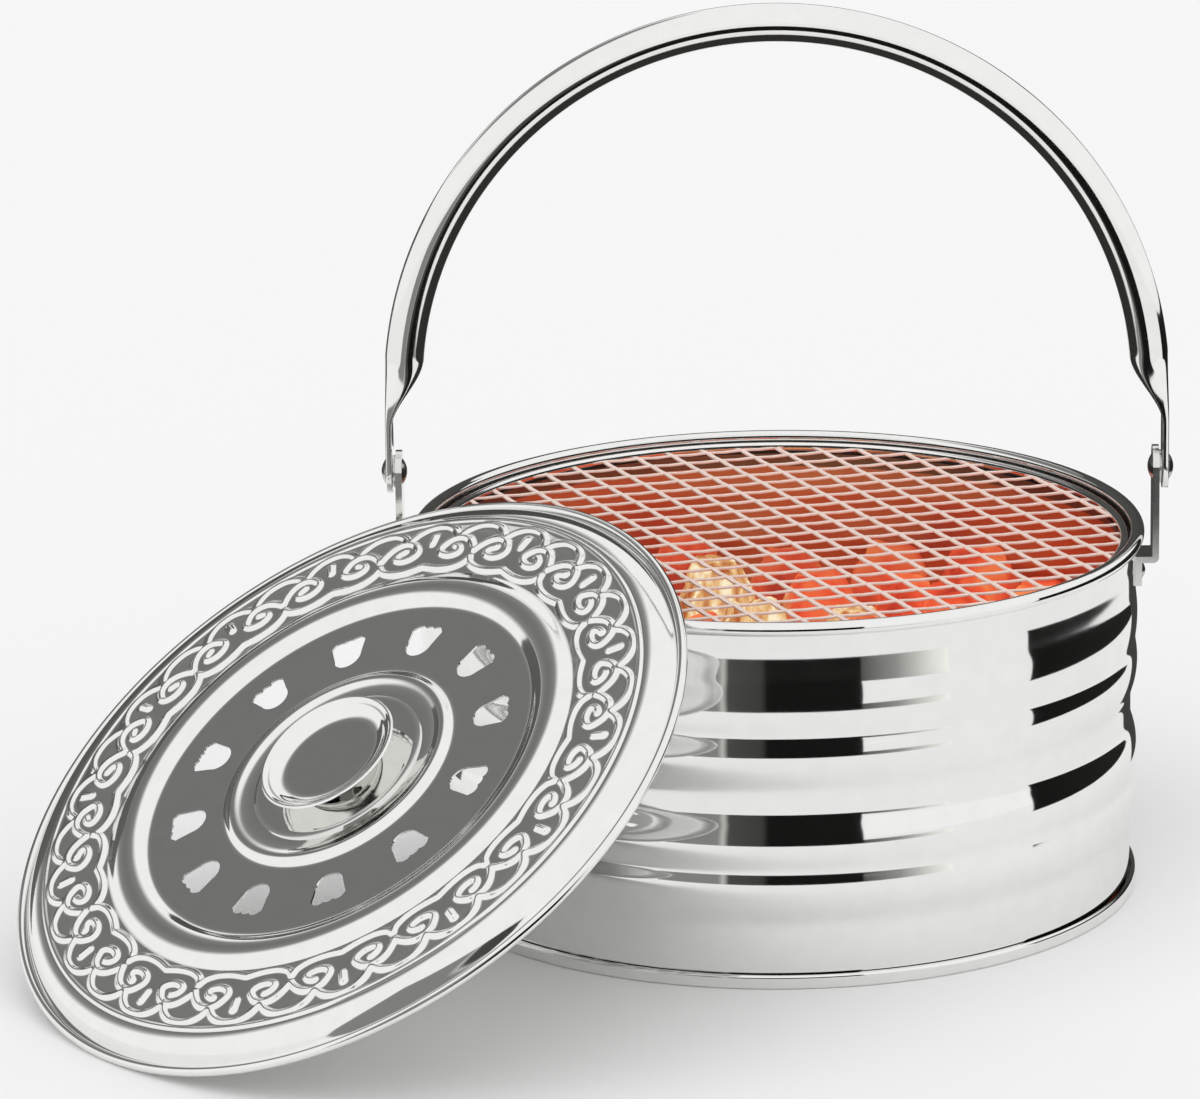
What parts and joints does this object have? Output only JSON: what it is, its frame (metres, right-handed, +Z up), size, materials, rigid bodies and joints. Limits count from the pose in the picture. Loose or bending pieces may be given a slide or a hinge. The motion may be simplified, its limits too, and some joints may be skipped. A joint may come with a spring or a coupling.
{
  "type": "charcoal fire pot",
  "caption": "Round portable charcoal fire pot: beaded polished steel drum, burning charcoal under a wire net, swinging carrying bail, and a pierced lid leaning on the rim.",
  "frame": {"origin": "centre of the drum's flat underside, on the surface it stands on", "axes": "+Z up, along the drum's axis; X along the line of the bail's two pivots; the lid leans on the side of -X and -Y"},
  "size_m": [0.5276, 0.4925, 0.4162],
  "materials": {
    "polished_sheet": "mirror-polished stainless steel sheet",
    "polished_plate": "polished stainless steel plate",
    "polished_tube": "mirror-polished stainless steel, rolled hollow",
    "polished_knob": "polished stainless steel, spun",
    "bright_fasteners": "bright stainless steel",
    "bright_wire": "bright steel wire",
    "plain_wire": "plain steel wire",
    "plain_sheet": "plain steel strip",
    "grate_iron": "blackened iron",
    "unlit_charcoal": "black charcoal",
    "glowing_charcoal": "charcoal glowing red",
    "ashy_charcoal": "charcoal under grey ash"
  },
  "bodies": {
    "drum": {"drum_wall": "polished_sheet", "rim_wire": "plain_wire", "drum_base": "polished_sheet", "net_ledge": "plain_sheet", "fire_grate": "grate_iron", "grate_legs": "grate_iron", "charcoal_dark": "unlit_charcoal", "charcoal_glowing": "glowing_charcoal", "charcoal_ashy": "ashy_charcoal", "ear_left": "polished_plate", "ear_right": "polished_plate", "ear_rivets": "bright_fasteners", "pivot_rivets": "bright_fasteners", "pivot_washers": "bright_fasteners"},
    "bail": {"bail": "polished_tube"},
    "net": {"net_hoop": "bright_wire", "net_mesh": "bright_wire"},
    "lid": {"lid_shell": "polished_sheet", "lid_rim_wire": "plain_wire", "knob_foot": "polished_knob", "knob_dish": "polished_knob", "knob_stud": "bright_fasteners", "knob_washer": "bright_fasteners", "knob_nut": "bright_fasteners"}
  },
  "joints": [
    {"name": "bail_swing", "type": "hinge", "parent": "drum", "child": "bail", "pos_m": [0, 0, 0.197], "axis": [1, 0, 0], "range_deg": [-115, 38]},
    {"name": "lid_lift", "type": "slide", "parent": "drum", "child": "lid", "axis": [-0.4385, -0.3785, 0.8151], "range_m": [0, 0.25]},
    {"name": "net_lift", "type": "slide", "parent": "drum", "child": "net", "axis": [0, 0, 1], "range_m": [0, 0.06]}
  ],
  "couplings": [
    {"joint": "net_lift", "follows": "lid_lift", "ratio": 0.24}
  ]
}
